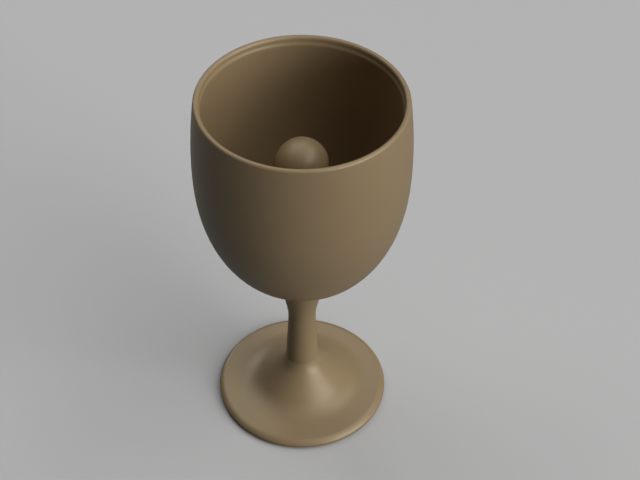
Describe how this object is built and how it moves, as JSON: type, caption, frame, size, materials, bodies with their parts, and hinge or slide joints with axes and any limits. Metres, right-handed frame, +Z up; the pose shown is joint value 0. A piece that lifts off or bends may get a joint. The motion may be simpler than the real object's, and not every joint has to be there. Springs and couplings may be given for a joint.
{
  "type": "pythagorean cup",
  "caption": "Goblet-shaped pythagorean cup: a bell siphon in the bowl empties it through stem and foot once it is filled past the hidden crest.",
  "frame": {"origin": "on the table, at the centre of the ring that the foot stands on", "axes": "+Z up along the cup's axis, +Y away from the picture's viewer, +X to the viewer's right"},
  "size_m": [0.0837, 0.0836, 0.16],
  "materials": {
    "tan_plastic": "satin moulded",
    "stainless": "drawn and turned",
    "silicone": "moulded, matte"
  },
  "bodies": {
    "cup": {"bowl": "tan_plastic", "siphon_tube": "stainless", "tube_flange": "stainless", "flange_gasket": "silicone", "bell_ring": "silicone", "stem": "tan_plastic", "foot": "tan_plastic", "plain_washer": "stainless", "spring_washer": "stainless", "lock_nut": "stainless"},
    "bell": {"siphon_bell": "tan_plastic"}
  },
  "joints": [
    {"name": "bell_lift", "type": "slide", "parent": "cup", "child": "bell", "axis": [0, 0, 1], "range_m": [0, 0.09]}
  ]
}
